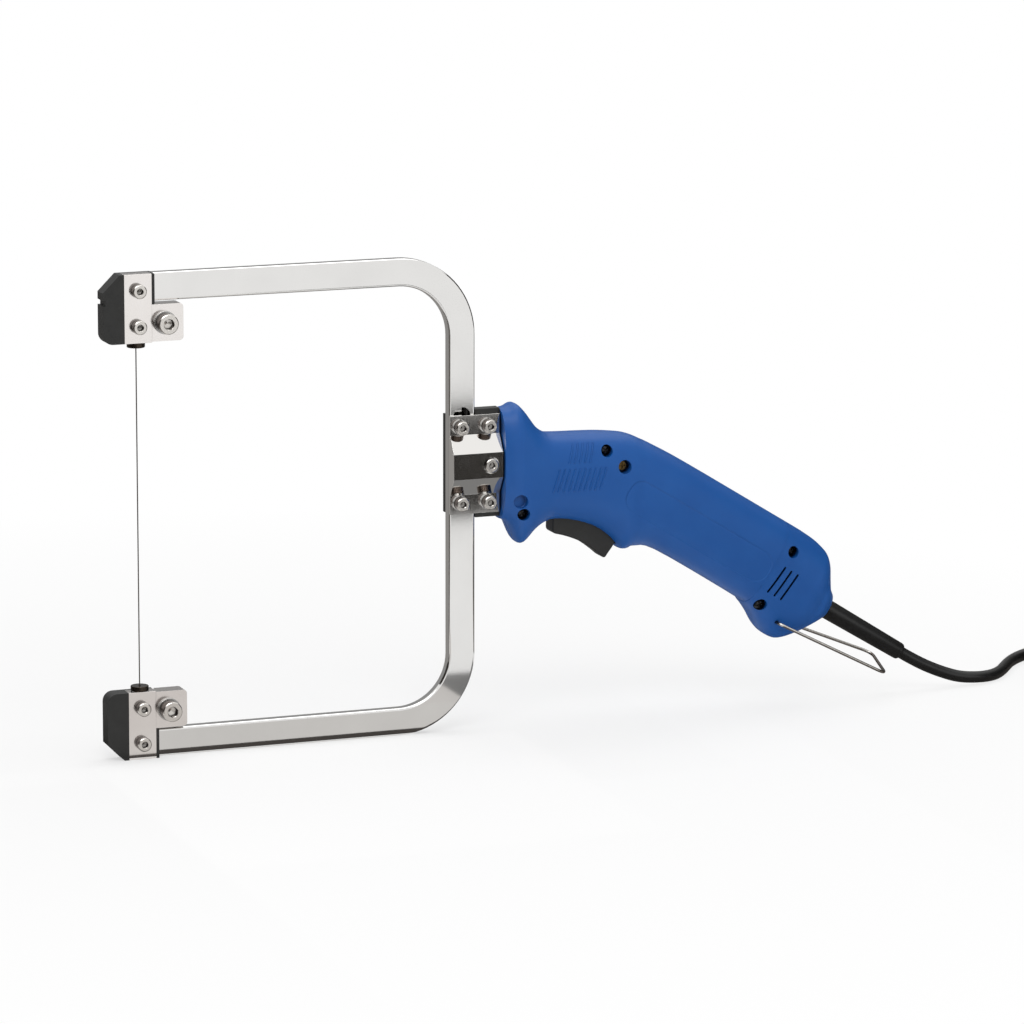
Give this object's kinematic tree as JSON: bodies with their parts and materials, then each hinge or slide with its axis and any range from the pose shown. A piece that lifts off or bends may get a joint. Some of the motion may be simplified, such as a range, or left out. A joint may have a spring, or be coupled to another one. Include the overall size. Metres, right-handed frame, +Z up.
{
  "type": "electric hot knife",
  "caption": "Hand-held hot-wire cutter: steel bow with a taut hot wire, clamped to a moulded handle with trigger, hanging bail and mains cord.",
  "frame": {"origin": "middle of the underside of the bow's lower arm, on which the tool rests", "axes": "+Z up along the bow's leg; +X from the hot wire towards the handle; the bow lies in the XZ plane and its screw heads face -Y"},
  "size_m": [0.6222, 0.0998, 0.242],
  "materials": {
    "bow_steel": "lightly brushed, polished edges",
    "clamp_steel": "polished plate",
    "terminal_metal": "nickel plated",
    "screw_steel": "bright zinc plated",
    "dark_screws": "dark plated",
    "wire_metal": "oxidised",
    "bail_steel": "bright drawn wire",
    "brass": "turned",
    "copper": "copper",
    "core_iron": "laminated",
    "black_plastic": "satin",
    "blue_plastic": "fine satin moulded",
    "switch_plastic": "moulded",
    "lead_insulation": "silicone",
    "cord_rubber": "matt",
    "tie_fabric": "woven strap",
    "pin_metal": "nickel plated"
  },
  "bodies": {
    "frame": {"bow_tube": "bow_steel", "front_clamp": "clamp_steel", "upper_terminal": "terminal_metal", "lower_terminal": "terminal_metal", "upper_cover": "terminal_metal", "lower_cover": "terminal_metal", "cover_screws": "screw_steel", "terminal_bolts": "screw_steel", "terminal_washers": "screw_steel", "clamp_screws": "screw_steel", "clamp_washers": "screw_steel", "clamp_nuts": "screw_steel", "centre_screw": "screw_steel", "trigger_pin": "screw_steel", "cord_clamp_screws": "screw_steel", "housing_screws": "dark_screws", "wire_bushings": "dark_screws", "hot_wire": "wire_metal", "adjuster": "brass", "bus_bars": "copper", "secondary_winding": "copper", "primary_winding": "copper", "transformer_core": "core_iron", "upper_insulator": "black_plastic", "lower_insulator": "black_plastic", "rear_clamp": "black_plastic", "insulating_block": "black_plastic", "cord_clamp": "black_plastic", "left_housing": "blue_plastic", "right_housing": "blue_plastic", "switch_body": "switch_plastic", "bow_leads": "lead_insulation", "mains_leads": "lead_insulation", "strain_relief": "cord_rubber", "cord": "cord_rubber", "cord_coil": "cord_rubber", "cord_tail": "cord_rubber", "plug_body": "cord_rubber", "coil_tie": "tie_fabric", "plug_pins": "pin_metal"},
    "trigger": {"trigger": "black_plastic"},
    "plunger": {"switch_plunger": "switch_plastic", "trigger_spring": "screw_steel"},
    "bail": {"hanging_bail": "bail_steel"}
  },
  "joints": [
    {"name": "trigger_hinge", "type": "hinge", "parent": "frame", "child": "trigger", "pos_m": [0.1475, 0, 0.109], "axis": [0, -1, 0], "range_deg": [0, 8], "stiffness_Nm_per_rad": 0.8, "springref_deg": -5.73},
    {"name": "plunger_slide", "type": "slide", "parent": "frame", "child": "plunger", "axis": [0, 0, 1], "range_m": [0, 0.00266], "deforming": ["trigger_spring"]},
    {"name": "bail_hinge", "type": "hinge", "parent": "frame", "child": "bail", "pos_m": [0.26378, 0, 0.04508], "axis": [0, 1, 0], "range_deg": [-4, 165]}
  ],
  "couplings": [
    {"joint": "plunger_slide", "follows": "trigger_hinge", "m_per_rad": 0.019}
  ]
}
